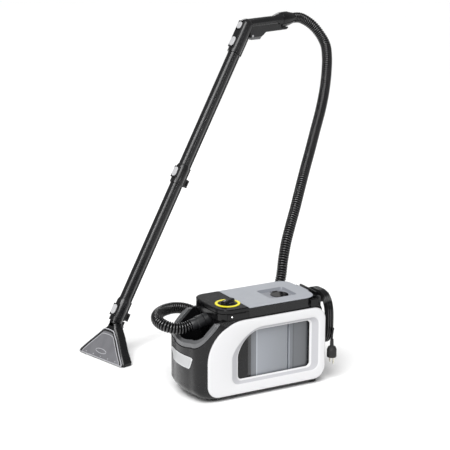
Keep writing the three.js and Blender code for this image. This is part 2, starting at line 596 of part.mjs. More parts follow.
function buildInternals() {
  const { x, y, z } = TURBINE;
  const at = { x, y };
  const scroll = cut(drum(52, z, z + 38, at), drum(48, z + 3, z + 60, at), drum(22, 0, z + 60, at));
  add('turbine_housing', scroll, 'charcoal');
  const blades = [...Array(8).keys()].map((i) => block(12, 41, -1, 1, 6, 22).rotate([0, 0, i * 45]));
  const few = { sides: 20 };
  const rotor = join(drum(43, 4, 7, few), drum(12.5, 4, 24, few), drum(4, 3.5, 40, few), ...blades).translate([x, y, z]);
  add('turbine_rotor', rotor, 'silver');
  const flange = drum(52, z + 38 + GAP, z + 44, at);
  const motor = join(flange, drum(38, z + 43, z + 82, at), drum(30, z + 81, z + 92, at));
  add('suction_motor', cut(motor, drum(5, 0, z + 70, at)), 'steel');
  const pumpAxis = (body) => body.rotate([0, 90, 0]).translate([-112, -63, 34]);
  add('water_pump', pumpAxis(cut(drum(15, -26, 22), drum(5, -30, 6))), 'charcoal');
  add('pump_plunger', pumpAxis(drum(4.5, -36, -2, { sides: 20 })), 'steel');
  add('exhaust_filter', block(-68, -52, 30, 76, 30, 90), 'filter');
  const duct = smoothPath([[-117, 0, 235.4], [-104, 6, 231], [-92, 13, 220], [-76, 15, 208], [-53.5, 15, 203]]);
  const flow = cut(bar(duct, 12, 12, 12, 8), bar(stretch(duct), 10, 10, 12, 10));
  add('suction_duct', flow, 'charcoal');
}

// the same path run on a little past both ends
function stretch(curve) {
  const points = curve.getPoints(16);
  const before = points[0].clone().multiplyScalar(2).sub(points[1]);
  const after = points[16].clone().multiplyScalar(2).sub(points[15]);
  return new THREE.CatmullRomCurve3([before, ...points, after]);
}

function buildBase() {
  const corners = [[-150, -62], [-150, 62], [188, -72], [188, 72]];
  corners.forEach(([x, y], i) => {
    add(`foot_${i + 1}`, drum(11, 0, 5.6, { x, y, sides: 24, top: 12 }), 'rubber');
  });
  for (const [name, x] of [['front', -165], ['rear', 190]]) {
    add(`base_screw_${name}`, drum(3.5, 3.9, 5.6, { x, sides: 16 }), 'steel');
  }
}

// ---- the wand, in its own frame: +Z up the tubes, +X the upper side, and z = 0 where the nozzle starts ----
function wandMatrix() {
  const heading = THREE.MathUtils.degToRad(WAND.heading);
  const tilt = THREE.MathUtils.degToRad(WAND.tilt);
  const ahead = new THREE.Vector3(Math.cos(heading), Math.sin(heading), 0);
  const across = new THREE.Vector3(Math.sin(heading), -Math.cos(heading), 0);
  const along = ahead.clone().multiplyScalar(Math.sin(tilt)).setZ(Math.cos(tilt));
  const upper = across.clone().cross(along);
  return new THREE.Matrix4().makeBasis(upper, across, along).setPosition(vec(WAND.foot));
}

const SLOT = { half: 10, length: 33 };
const BUTTON_Z = { nozzle: 6, tubes: 17.5, handle: 15, slide: 71 }; // above the collar's lower end

// one stretch of tube with a collar at its lower end, from z to z + WAND.joint
function tubeWithCollar(z, buttonZ) {
  const top = z + WAND.joint + 30;
  const tube = sleeve(WAND.tube, WAND.tube - 2.2, z + 34, top);
  const collar = cut(
    join(drum(WAND.collar, z, z + 58), drum(WAND.collar, z + 58, z + 67, { top: WAND.tube + 0.5 })),
    drum(WAND.tube + GAP, z - 1, z + 33),
    drum(WAND.tube - 2.2, z, z + 80),
  );
  const channel = block(-WAND.tube - 9, -WAND.tube + 1, -6, 6, z + 60, z + WAND.joint - 0.6);
  const channelCollar = block(-WAND.tube - 11, -WAND.tube - 2, -8, 8, z + 0.6, z + 64);
  const catchPlate = block(-WAND.tube - 27, -WAND.tube - 10, -6, 6, z + 4, z + 30);
  const catchGap = block(-WAND.tube - 22, -WAND.tube - 14, -7, 7, z + 10, z + 24);
  const hook = cut(catchPlate, catchGap);
  const bore = drum(WAND.tube + GAP, z - 1, z + 33);
  const latch = block(WAND.collar - 3, WAND.collar + 3, -12, 12, z + buttonZ - 3, z + buttonZ + SLOT.length + 3);
  return cut(join(tube, collar, channel, cut(channelCollar, bore), latch, hook), buttonRoom(z + buttonZ));
}

const buttonRoom = (z) => block(WAND.collar - 1, 60, -SLOT.half, SLOT.half, z, z + SLOT.length);

// a press button that stands proud of its room and has 2 mm to travel under it
function latchButton(z, length = SLOT.length) {
  const shape = roundedRect(z + GAP, z + length - GAP, -SLOT.half + GAP, SLOT.half - GAP, 8.5);
  return plate(shape, WAND.collar + 1.4, WAND.collar + 6.5, 1.5, 2).rotate([0, -90, 0]).mirror([1, 0, 0]);
}

const HANDLE_Z = 2 * WAND.joint;
const ELBOW_Z = HANDLE_Z + 108;

// the grip runs level with the floor, so it leans back from the tube by the tilt
function gripFrame(body) {
  return body.rotate([0, -(90 - WAND.tilt) , 0]).translate([0, 0, ELBOW_Z]);
}

function buildHandle() {
  const barrel = join(
    drum(WAND.collar + 0.5, HANDLE_Z, ELBOW_Z - 6),
    solid(new THREE.SphereGeometry(WAND.collar + 0.5, 24, 12)).translate([0, 0, ELBOW_Z - 6]),
  );
  const gripShape = new THREE.Shape();
  gripShape.absellipse(0, 0, 15.5, 16, 0, 2 * Math.PI);
  const grip = gripFrame(solid(new THREE.ExtrudeGeometry(
    new THREE.Shape(gripShape.getSpacedPoints(24).slice(0, -1)), { depth: 152, bevelEnabled: false },
  )));
  const fairing = gripFrame(profile(polygon([
    [-6, 6], [-46, 9], [-47, 60], [-42, 69], [-34, 80], [-34, 176], [-30, 184], [-25.6, 184], [-25.6, 151.5], [-6, 151.5],
  ]), -12, 12, 1));
  const hood = gripFrame(common(
    drum(15.5, 122, 151.5, { top: 24 }),
    profile(polygon([[30, 100], [30, 160], [-14, 160], [-14, 142], [18, 100]]), -40, 40),
  ));
  const triggerRoom = gripFrame(block(-60, -24, -8.5, 8.5, 10, 70));
  const socket = drum(WAND.tube + GAP, HANDLE_Z - 1, HANDLE_Z + 31);
  const channel = cut(block(-29, -16, -8, 8, HANDLE_Z + 0.6, HANDLE_Z + 72), socket);
  const pad = block(WAND.collar - 3, WAND.collar + 3, -12, 12, HANDLE_Z + 12, HANDLE_Z + 107);
  const cuffRoom = gripFrame(drum(15, 150 - 24, 160));
  const throat = gripFrame(drum(12, 20, 140, { sides: 20 }));
  const lower = drum(14, HANDLE_Z + 20, ELBOW_Z, { sides: 20 });
  const buttonRooms = [BUTTON_Z.handle, BUTTON_Z.slide].map((z) => buttonRoom(HANDLE_Z + z));
  const rooms = [socket, triggerRoom, cuffRoom, throat, lower, ...buttonRooms];
  const shell = cut(join(barrel, grip, fairing, hood, channel, pad), ...rooms, triggerPin(2 + GAP, 12));
  add('handle_shell', shell, 'black', wand);
  add('handle_latch_button', latchButton(HANDLE_Z + BUTTON_Z.handle), 'button', wand);
  add('handle_slide_button', latchButton(HANDLE_Z + BUTTON_Z.slide + 6, 26), 'button', wand);
  const lever = profile(polygon([
    [-45, 13], [-55, 18], [-56, 57], [-45, 66], [-38, 66], [-36, 27], [-38, 13],
  ]), -7.8, 7.8, 1.5);
  add('spray_trigger', cut(gripFrame(lever), triggerPin(2 + GAP, 20)), 'button', wand);
  add('trigger_pin', triggerPin(2, 11.5), 'steel', wand);
  const cuff = new THREE.LatheGeometry([
    [11, 130], [14.4, 130], [14.4, 153], [24, 153], [25, 156], [24.5, 186], [20, 204], [18.5, 212], [11, 212], [11, 130],
  ].map(([r, z]) => new THREE.Vector2(r, z)), 24);
  add('hose_cuff', gripFrame(solid(cuff.rotateX(Math.PI / 2))), 'black', wand);
}

function triggerPin(radius, halfLength) {
  const rod = new THREE.CylinderGeometry(radius, radius, 2 * halfLength, 16);
  return gripFrame(solid(rod).translate([-41.5, 0, 18.5]));
}

// ---- floor nozzle: its rings run from the mouth on the floor up to the neck ----
function nozzleRing(z, half, front, rear, corner) {
  const path = roundedRect(front, rear, -half, half, corner);
  return corners(path, 5).map((p) => new THREE.Vector3(p.x, p.y, z));
}

function horn(inset, z0) {
  const levels = [
    [z0, 110, -68, -28, 8], [10, 110, -66, -26, 10], [36, 86, -55, -18, 11], [70, 52, -37, 0, 13],
    [98, 22, -26, 12, 12], [112, 18, -21, 15, 14],
  ];
  return loft(levels.map(([z, half, front, rear, corner]) => nozzleRing(
    z, half - inset, front + inset, rear - inset, Math.max(corner - inset, 3),
  )));
}

function nozzleFrame(body) {
  const [x, y] = WAND.foot;
  return body.rotate([0, 0, WAND.heading]).translate([x, y, 0]);
}

const toWand = wandMatrix().invert();

// a solid made in the floor frame, given in the wand's own frame
function fromFloor(body) {
  return body.transform(toWand.elements);
}

function buildNozzle() {
  const spigot = join(sleeve(16.5, 13, -20, 30), drum(WAND.collar, -12, -GAP * 2));
  const hole = drum(13, -30, 40, { sides: 24 });
  const body = join(fromFloor(nozzleFrame(horn(0, 2.5))), spigot);
  const inside = fromFloor(nozzleFrame(horn(3, 1)));
  const coupling = block(-34, -16, -8, 8, -22, -1);
  const tab = block(-40, -22, -5, 5, -27, -15);
  add('floor_nozzle', cut(join(body, coupling, tab), inside, hole), 'black', wand);
  add('nozzle_window', fromFloor(nozzleFrame(nozzleFace())), 'smoke', wand);
}

// the clear front plate of the nozzle stands just off the sloping face
function nozzleFace() {
  const levels = [[4, 106, -68], [10, 106, -66], [36, 81, -55], [70, 47, -37], [94, 22, -27.5]];
  return loft(levels.map(([z, half, front]) => nozzleRing(z, half, front - GAP - 3, front - GAP, 1.2)));
}

function buildWand() {
  wandMatrix().decompose(wand.position, wand.quaternion, wand.scale);
  add('lower_tube', tubeWithCollar(0, BUTTON_Z.nozzle), 'black', wand);
  add('upper_tube', tubeWithCollar(WAND.joint, BUTTON_Z.tubes), 'black', wand);
  add('nozzle_latch_button', latchButton(BUTTON_Z.nozzle), 'button', wand);
  add('tube_latch_button', latchButton(WAND.joint + BUTTON_Z.tubes), 'button', wand);
  buildHandle();
  buildNozzle();
}

buildBody();
buildConsole();
buildTanks();
buildLatch();
buildRear();
buildHose();
buildInternals();
buildBase();
buildWand();

export default machine;
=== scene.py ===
"""Spot extractor: the looks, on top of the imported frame. Lengths are in metres unless a name says mm."""
import math

import bmesh
import bpy
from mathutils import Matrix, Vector
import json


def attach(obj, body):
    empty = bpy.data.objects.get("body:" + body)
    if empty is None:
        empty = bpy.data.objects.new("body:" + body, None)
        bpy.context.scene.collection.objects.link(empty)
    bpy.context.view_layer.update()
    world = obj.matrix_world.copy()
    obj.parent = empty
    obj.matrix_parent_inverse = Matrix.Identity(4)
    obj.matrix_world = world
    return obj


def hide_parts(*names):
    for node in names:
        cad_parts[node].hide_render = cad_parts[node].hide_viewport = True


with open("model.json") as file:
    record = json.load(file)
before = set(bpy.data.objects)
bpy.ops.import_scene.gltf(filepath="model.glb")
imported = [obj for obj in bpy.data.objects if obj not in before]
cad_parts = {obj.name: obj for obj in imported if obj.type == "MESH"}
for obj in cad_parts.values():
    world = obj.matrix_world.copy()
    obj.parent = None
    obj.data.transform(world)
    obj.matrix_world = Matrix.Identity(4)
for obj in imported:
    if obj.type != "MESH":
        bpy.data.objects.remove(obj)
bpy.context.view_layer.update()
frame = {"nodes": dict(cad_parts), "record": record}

# ---- the design's own coordinates: millimetres from the middle of the body's base ----
BODY_MIDDLE_MM = Vector((104, 271, 0))


def at(x, y, z):
    """A point of the design, in the frame's metres."""
    return (Vector((x, y, z)) - BODY_MIDDLE_MM) * 0.001


# ---- camera ----
CAMERA_MM = (-2299.6, -3979.2, 1724.4)
CAMERA_AZIMUTH = -29.19
CAMERA_ELEVATION = 14.89
CAMERA_LENS = 128
CAMERA_SENSOR = 36


def add_camera():
    data = bpy.data.cameras.new("camera")
    data.lens = CAMERA_LENS
    data.sensor_width = CAMERA_SENSOR
    camera = bpy.data.objects.new("camera", data)
    camera.location = at(*CAMERA_MM)
    camera.rotation_euler = (math.radians(90 - CAMERA_ELEVATION), 0, math.radians(CAMERA_AZIMUTH))
    bpy.context.scene.collection.objects.link(camera)
    bpy.context.scene.camera = camera


add_camera()


# ---- materials ----
def new_material(name):
    material = bpy.data.materials.new(name)
    material.use_nodes = True
    shader = material.node_tree.nodes["Principled BSDF"]
    return material, material.node_tree, shader


def noise(tree, scale, detail=4.0, roughness=0.55, stretch=(1, 1, 1)):
    place = tree.nodes.new("ShaderNodeTexCoord")
    mapping = tree.nodes.new("ShaderNodeMapping")
    mapping.inputs["Scale"].default_value = stretch
    texture = tree.nodes.new("ShaderNodeTexNoise")
    texture.inputs["Scale"].default_value = scale
    texture.inputs["Detail"].default_value = detail
    texture.inputs["Roughness"].default_value = roughness
    tree.links.new(place.outputs["Object"], mapping.inputs["Vector"])
    tree.links.new(mapping.outputs["Vector"], texture.inputs["Vector"])
    return texture.outputs["Fac"]


def ramp(tree, value, low, high):
    """value mapped to colours from low to high, both as rgb."""
    node = tree.nodes.new("ShaderNodeValToRGB")
    node.color_ramp.elements[0].position = 0.3
    node.color_ramp.elements[1].position = 0.7
    node.color_ramp.elements[0].color = (*low, 1)
    node.color_ramp.elements[1].color = (*high, 1)
    tree.links.new(value, node.inputs["Fac"])
    return node.outputs["Color"]


def vary_roughness(tree, shader, value, low, high):
    node = tree.nodes.new("ShaderNodeMapRange")
    node.inputs["From Min"].default_value = 0.3
    node.inputs["From Max"].default_value = 0.7
    node.inputs["To Min"].default_value = low
    node.inputs["To Max"].default_value = high
    tree.links.new(value, node.inputs["Value"])
    tree.links.new(node.outputs["Result"], shader.inputs["Roughness"])


def add_bump(tree, shader, value, strength, distance):
    node = tree.nodes.new("ShaderNodeBump")
    node.inputs["Strength"].default_value = strength
    node.inputs["Distance"].default_value = distance
    tree.links.new(value, node.inputs["Height"])
    tree.links.new(node.outputs["Normal"], shader.inputs["Normal"])


DRIFT_SCALE = 14
PATCH_SCALE = 55
GRAIN_DEPTH = 0.0002


def moulded(
    name, color, spread=0.12, rough=(0.35, 0.5), grain=900, bump=0.25, metallic=0.0, coat=0.0, shine=0.5,
):
    """Moulded plastic, rubber or metal: slight colour drift, patchy gloss and a fine grain."""
    material, tree, shader = new_material(name)
    low = [c * (1 - spread) for c in color]
    high = [min(1, c * (1 + spread)) for c in color]
    tree.links.new(ramp(tree, noise(tree, DRIFT_SCALE), low, high), shader.inputs["Base Color"])
    vary_roughness(tree, shader, noise(tree, PATCH_SCALE), *rough)
    add_bump(tree, shader, noise(tree, grain, 2), bump, GRAIN_DEPTH)
    shader.inputs["Metallic"].default_value = metallic
    shader.inputs["Specular IOR Level"].default_value = shine
    shader.inputs["Coat Weight"].default_value = coat
    shader.inputs["Coat Roughness"].default_value = 0.08
    return material


def smoky(name, color, rough, transmission):
    """Tinted clear plastic with faint flow marks."""
    material, tree, shader = new_material(name)
    low = [c * 0.9 for c in color]
    high = [min(1, c * 1.1) for c in color]
    flow = noise(tree, 9, 2, 0.4, stretch=(4, 4, 0.5))
    tree.links.new(ramp(tree, flow, low, high), shader.inputs["Base Color"])
    vary_roughness(tree, shader, noise(tree, 40), *rough)
    shader.inputs["Transmission Weight"].default_value = transmission
    shader.inputs["IOR"].default_value = 1.45
    shader.inputs["Coat Weight"].default_value = 0.5
    shader.inputs["Coat Roughness"].default_value = 0.05
    return material


# shades of grey along the tanks: partly the walls and ribs seen through them, partly painted shade and
# painted highlight lines: (x in mm, shade)
CLEAR_SHADE_BANDS = (
    (-45, 0.03), (-33, 0.03), (-31, 0.16), (-14, 0.2), (-12.5, 0.6), (-10, 0.33), (45, 0.28), (92, 0.24),
    (97, 0.4),
)
SMOKE_SHADE_BANDS = (
    (101, 0.4), (104, 0.16), (113, 0.15), (114, 0.08), (119, 0.12), (140, 0.11), (156, 0.09), (168, 0.03),
)
TANK_TINT = (0.93, 0.99, 1.09)


def painted_shade_tank(name, bands, transmission):
    """Tinted tank plastic with bands of shade along x: partly the walls and ribs behind it, partly painted
    shade and painted highlights.
    """
    material, tree, shader = new_material(name)
    place = tree.nodes.new("ShaderNodeTexCoord")
    split = tree.nodes.new("ShaderNodeSeparateXYZ")
    reach = tree.nodes.new("ShaderNodeMapRange")
    stops = tree.nodes.new("ShaderNodeValToRGB")
    first, last = bands[0][0], bands[-1][0]
    reach.inputs["From Min"].default_value = at(first, 0, 0).x
    reach.inputs["From Max"].default_value = at(last, 0, 0).x
    elements = stops.color_ramp.elements
    while len(elements) < len(bands):
        elements.new(0.5)
    for element, (x, shade) in zip(elements, bands):
        element.position = (x - first) / (last - first)
        element.color = (*(shade * tint for tint in TANK_TINT), 1)
    tree.links.new(place.outputs["Object"], split.inputs["Vector"])
    tree.links.new(split.outputs["X"], reach.inputs["Value"])
    tree.links.new(reach.outputs["Result"], stops.inputs["Fac"])
    tree.links.new(stops.outputs["Color"], shader.inputs["Base Color"])
    vary_roughness(tree, shader, noise(tree, 40), 0.1, 0.18)
    shader.inputs["Transmission Weight"].default_value = transmission
    shader.inputs["Coat Weight"].default_value = 0.5
    shader.inputs["Coat Roughness"].default_value = 0.05
    return material


def glowing(name, color, strength):
    material, tree, shader = new_material(name)
    tree.links.new(ramp(tree, noise(tree, 300), color, color), shader.inputs["Base Color"])
    shader.inputs["Emission Color"].default_value = (*color, 1)
    shader.inputs["Emission Strength"].default_value = strength
    return material


BLACK = moulded(
    "black_plastic", (0.005, 0.005, 0.0056), spread=0.06, rough=(0.22, 0.3), grain=1400, bump=0.02,
    shine=0.36,
)
TUBE_BLACK = moulded(
    "tube_black", (0.007, 0.007, 0.0078), rough=(0.24, 0.32), grain=1800, bump=0.03, shine=0.42,
)
CONSOLE_BLACK = moulded(
    "console_black", (0.003, 0.003, 0.0034), rough=(0.12, 0.2), grain=1400, bump=0.02, shine=0.3,
)
CHARCOAL = moulded("charcoal_plastic", (0.012, 0.0125, 0.014), rough=(0.35, 0.5), grain=700, bump=0.2)
GLOSS = moulded("gloss_black", (0.003, 0.003, 0.0035), rough=(0.05, 0.1), grain=400, bump=0.02, coat=0.6)
WHITE = moulded(
    "white_plastic", (0.66, 0.66, 0.67), spread=0.004, rough=(0.28, 0.32), grain=1200, bump=0.008, coat=0.2,
)
GREY_LID = moulded("grey_lid", (0.335, 0.35, 0.38), spread=0.02, rough=(0.42, 0.55), grain=1100, bump=0.2)
SILVER = moulded(
    "silver_plastic", (0.30, 0.305, 0.31), spread=0.05, rough=(0.22, 0.32), grain=900, bump=0.05,
    metallic=0.6,
)
RIM_GREY = moulded(
    "rim_grey", (0.13, 0.132, 0.137), spread=0.05, rough=(0.2, 0.28), grain=900, bump=0.04, metallic=0.3,
)
# painted shade: the slope of the border round the window is a greyer white than the frame's face; the plastic
# is the same
WHITE_SLOPE_SHADE = moulded(
    "white_slope_painted_shade", (0.45, 0.45, 0.47), spread=0.004, rough=(0.28, 0.32), grain=1200, bump=0.008,
)
PLAIN_PLATE = moulded(
    "plain_plate", (0.62, 0.63, 0.64), spread=0.03, rough=(0.2, 0.3), grain=600, bump=0.02, metallic=0.5,
)
YELLOW = moulded(
    "yellow_plastic", (0.83, 0.74, 0.02), spread=0.04, rough=(0.35, 0.45), grain=900, bump=0.05,
)
BUTTON_GREY = moulded(
    "button_grey", (0.42, 0.42, 0.43), spread=0.04, rough=(0.4, 0.5), grain=900, bump=0.15,
)
TRIGGER_GREY = moulded(
    "trigger_grey", (0.16, 0.16, 0.165), spread=0.04, rough=(0.4, 0.5), grain=900, bump=0.1,
)
RUBBER = moulded("rubber", (0.008, 0.008, 0.008), rough=(0.5, 0.7), grain=500, bump=0.3)
HOSE_VINYL = moulded("hose_vinyl", (0.012, 0.012, 0.013), rough=(0.1, 0.15), grain=700, bump=0.02, coat=0.6)
# painted shade: the hose's grooves are a far darker black than its crests, and rougher
HOSE_GROOVE_SHADE = moulded(
    "hose_groove_painted_shade", (0.0006, 0.0006, 0.0007), rough=(0.6, 0.7), grain=700, bump=0.02, shine=0.05,
)
CABLE_VINYL = moulded("cable_vinyl", (0.005, 0.005, 0.0056), rough=(0.12, 0.2), grain=900, bump=0.04)
STEEL = moulded("steel", (0.5, 0.51, 0.52), rough=(0.25, 0.4), grain=700, bump=0.1, metallic=1.0)
BRASS = moulded("nickelled_brass", (0.62, 0.6, 0.52), rough=(0.2, 0.3), grain=700, bump=0.05, metallic=1.0)
FOAM = moulded("filter_foam", (0.6, 0.58, 0.52), rough=(0.85, 0.95), grain=260, bump=0.9)
EDGE_GREY = moulded("edge_grey", (0.42, 0.42, 0.44), spread=0.04, rough=(0.15, 0.25), grain=900, bump=0.03)
NOZZLE_CLEAR = smoky("nozzle_clear", (0.20, 0.20, 0.215), (0.12, 0.2), 0.3)
# painted shade: the lid's recess is a darker grey than the lid's top
RECESS_SHADE = moulded(
    "recess_painted_shade", (0.2, 0.21, 0.235), spread=0.03, rough=(0.3, 0.4), grain=1100, bump=0.05,
)
PLAIN_FIELD = moulded(
    "plain_field", (0.45, 0.455, 0.46), spread=0.02, rough=(0.3, 0.4), grain=600, bump=0.01,
)
LAMP = glowing("lamp", (1.0, 1.0, 1.0), 1.5)
# the tanks' colour carries painted shade and painted highlight lines along x
CLEAR_TANK = painted_shade_tank("clear_tank", CLEAR_SHADE_BANDS, 0.15)
SMOKE_TANK = painted_shade_tank("smoke_tank", SMOKE_SHADE_BANDS, 0.1)


# ---- building blocks ----
def link(obj):
    bpy.context.scene.collection.objects.link(obj)
    return obj


def mesh_object(name, vertices, faces, material):
    mesh = bpy.data.meshes.new(name)
    mesh.from_pydata([tuple(v) for v in vertices], [], faces)
    mesh.update()
    bm = bmesh.new()
    bm.from_mesh(mesh)
    bmesh.ops.recalc_face_normals(bm, faces=bm.faces)
    for face in bm.faces:
        face.smooth = True
    bm.to_mesh(mesh)
    bm.free()
    mesh.materials.append(material)
    return link(bpy.data.objects.new(name, mesh))


def loft(name, rings, material, endless=False):
    """A skin over rings with equal point counts."""
    count = len(rings[0])
    vertices = [point for ring in rings for point in ring]
    faces = []
    spans = len(rings) if endless else len(rings) - 1
    for i in range(spans):
        low = i * count
        high = (i + 1) % len(rings) * count
        for j in range(count):
            k = (j + 1) % count
            faces.append((low + j, low + k, high + k, high + j))
    if not endless:
        faces.append(tuple(range(count)))
        faces.append(tuple(range(len(vertices) - count, len(vertices))))
    return mesh_object(name, vertices, faces, material)


def soften(obj, width, segments=2, angle=30):
    """Rounded edges with even shading."""
    bevel = obj.modifiers.new("edges", "BEVEL")
    bevel.width = width
    bevel.segments = segments
    bevel.limit_method = "ANGLE"
    bevel.angle_limit = math.radians(angle)
    bevel.harden_normals = True
    return obj


def skin(node, material, width=0.0008, angle=30):
    """A finished copy of a CAD node: clean faces, rounded edges and smooth curves."""
    source = frame["nodes"][node]
    mesh = source.data.copy()
    mesh.transform(source.matrix_world)
    bm = bmesh.new()
    bm.from_mesh(mesh)
    bmesh.ops.remove_doubles(bm, verts=bm.verts, dist=2e-6)
    bmesh.ops.dissolve_limit(bm, angle_limit=math.radians(1), verts=bm.verts, edges=bm.edges)
    for face in bm.faces:
        face.smooth = True
    bm.to_mesh(mesh)
    bm.free()
    for name in ("custom_normal", "sharp_edge", "sharp_face"):
        if name in mesh.attributes:
            mesh.attributes.remove(mesh.attributes[name])
    mesh.materials.clear()
    mesh.materials.append(material)
    piece = link(bpy.data.objects.new(node + "_skin", mesh))
    soften(piece, width, angle=angle)
    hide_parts(node)
    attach(piece, body_of[node])
    skins[node] = piece
    return piece


skins = {}
body_of = {node: body for body, nodes in frame["record"]["behaviour"]["bodies"].items() for node in nodes}

# ---- hose ----
HOSE_DIAMETER = 0.036
HOSE_PITCH = 0.0078
HOSE_GROOVE = 0.0042
RIDGE_HEIGHTS = (0.0, 0.7, 1.0, 0.7)
SHADED_GROOVE_SPANS = (0, 3)
HOSE_SIDES = 20
HOSE_ROUTE_MM = [
    (-195.1, 0, 218.9), (-216, 0.5, 215.4), (-241, 8, 216), (-262, 25, 221), (-270, 52, 226), (-263, 84, 230),
    (-240, 115, 232), (-208, 137, 232), (-168, 149, 229), (-125, 153, 217), (-75, 155, 187), (-15, 157, 146),
    (50, 158, 121), (115, 159, 128), (165, 162, 160), (200, 167, 205), (224, 176, 258), (242, 192, 312),
    (264, 212, 358), (294, 236, 405), (325, 260, 450), (363, 292, 505), (402, 325, 560), (444, 360, 616),
    (485, 395, 672), (528, 432, 729), (575, 483, 783.5), (607, 522, 834), (630, 556, 880), (643, 587, 917),
    (638, 609, 946), (616, 624, 979), (592, 630.5, 998), (569, 631.5, 1009), (549.5, 628.4, 1012),
    (530.5, 623.7, 1012.2),
]


def smooth_path(points, step):
    """Points every step or so along a centripetal Catmull-Rom curve through the given ones."""
    ends = [points[0] * 2 - points[1], *points, points[-1] * 2 - points[-2]]
    fine = []
    for p0, p1, p2, p3 in zip(ends, ends[1:], ends[2:], ends[3:]):
        gaps = [max((b - a).length, 1e-9) ** 0.5 for a, b in ((p0, p1), (p1, p2), (p2, p3))]
        t1 = gaps[0]
        t2 = t1 + gaps[1]
        t3 = t2 + gaps[2]
        pieces = max(2, round((p2 - p1).length / step))
        for i in range(pieces):
            t = t1 + (t2 - t1) * i / pieces
            a1 = p0 * ((t1 - t) / t1) + p1 * (t / t1)
            a2 = p1 * ((t2 - t) / (t2 - t1)) + p2 * ((t - t1) / (t2 - t1))
            a3 = p2 * ((t3 - t) / (t3 - t2)) + p3 * ((t - t2) / (t3 - t2))
            b1 = a1 * ((t2 - t) / t2) + a2 * (t / t2)
            b2 = a2 * ((t3 - t) / (t3 - t1)) + a3 * ((t - t1) / (t3 - t1))
            fine.append(b1 * ((t2 - t) / (t2 - t1)) + b2 * ((t - t1) / (t2 - t1)))
    return fine + [points[-1]]


def even_path(points, step):
    """The same line with points at even spacing."""
    lengths = [0.0]
    for a, b in zip(points, points[1:]):
        lengths.append(lengths[-1] + (b - a).length)
    count = max(2, round(lengths[-1] / step))
    result = []
    j = 0
    for i in range(count + 1):
        want = lengths[-1] * i / count
        while j < len(points) - 2 and lengths[j + 1] < want:
            j += 1
        share = (want - lengths[j]) / max(lengths[j + 1] - lengths[j], 1e-12)
        result.append(points[j].lerp(points[j + 1], share))
    return result


def tube_rings(path, radii, sides):
    """Rings round a path, turned as little as possible from one to the next."""
    rings = []
    tangent = (path[1] - path[0]).normalized()
    side = tangent.orthogonal().normalized()
    for i, point in enumerate(path):
        ahead = path[min(i + 1, len(path) - 1)] - path[max(i - 1, 0)]
        tangent = ahead.normalized()
        side = (side - tangent * side.dot(tangent)).normalized()
        up = tangent.cross(side)
        turns = [2 * math.pi * j / sides for j in range(sides)]
        rings.append([point + (side * math.cos(a) + up * math.sin(a)) * radii[i] for a in turns])
    return rings


def add_hose():
    """The ridged hose, with painted shade in its grooves: a darker and duller black than its crests."""
    line = smooth_path([at(*p) for p in HOSE_ROUTE_MM], 0.004)
    steps_per_ridge = len(RIDGE_HEIGHTS)
    path = even_path(line, HOSE_PITCH / steps_per_ridge)
    crest = HOSE_DIAMETER / 2
    radii = [crest - HOSE_GROOVE * (1 - RIDGE_HEIGHTS[i % steps_per_ridge]) for i in range(len(path))]
    hose = loft("corrugated_hose", tube_rings(path, radii, HOSE_SIDES), HOSE_VINYL)
    hose.data.materials.append(HOSE_GROOVE_SHADE)
    # faces in the grooves take the painted shade
    for face in hose.data.polygons:
        span = min(face.vertices) // HOSE_SIDES % steps_per_ridge
        face.material_index = 1 if span in SHADED_GROOVE_SPANS else 0
    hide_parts("suction_hose")
    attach(hose, "machine")


# ---- mains cable ----
CABLE_DIAMETER = 0.007
COIL_MM = {"x": 248, "y": -11, "z": 188, "half_width": 72, "half_height": 86}
COIL_SQUARENESS = 0.72
COIL_ROWS = 3
COIL_PITCH_MM = 7.6
COIL_OUTER_INSET_MM = 4.2
COIL_LOOSENESS_MM = 0.5
COIL_START = -math.pi / 2 + 0.32
COIL_STEPS = 40
CHANGE_FROM = 0.8  # share of a turn after which the cable moves over to the next row or column
CABLE_GLAND_MM = (226.4, 35, 84)
LEAD_MM = [(234, 35, 84), (240, 32, 88), (240.5, 24, 97)]
TAIL_MM = [
    (250, -20, 120), (253, -52, 124), (254, -78, 150), (253, -87.5, 163), (250.5, -89, 157),
    (248.2, -90, 147),
]
PLUG_MM = (247.5, -90, 131.7)


def squared(value):
    """Pulls a circle toward a rounded rectangle."""
    return math.copysign(abs(value) ** COIL_SQUARENESS, value)


def coil_points():
    """Nine turns round the two hooks, three rows deep and three columns wide."""
    slots = []
    for row in range(COIL_ROWS):
        columns = (-1, 0, 1) if row % 2 == 0 else (1, 0, -1)
        inset = COIL_OUTER_INSET_MM + (COIL_ROWS - 1 - row) * COIL_PITCH_MM
        slots += [(inset, column * COIL_PITCH_MM) for column in columns]
    points = []
    for turn, (inset, offset) in enumerate(slots):
        after = slots[min(turn + 1, len(slots) - 1)]
        for i in range(COIL_STEPS):
            share = i / COIL_STEPS
            change = max(0.0, (share - CHANGE_FROM) / (1 - CHANGE_FROM))
            blend = change * change * (3 - 2 * change)
            depth = inset + (after[0] - inset) * blend
            x = offset + (after[1] - offset) * blend
            angle = COIL_START + 2 * math.pi * share
            loose = COIL_LOOSENESS_MM * math.sin(COIL_ROWS * angle + turn)
            y = (COIL_MM["half_width"] - depth) * squared(math.cos(angle))
            z = (COIL_MM["half_height"] - depth + loose) * squared(math.sin(angle))
            points.append((COIL_MM["x"] + x, COIL_MM["y"] + y, COIL_MM["z"] + z))
    return points


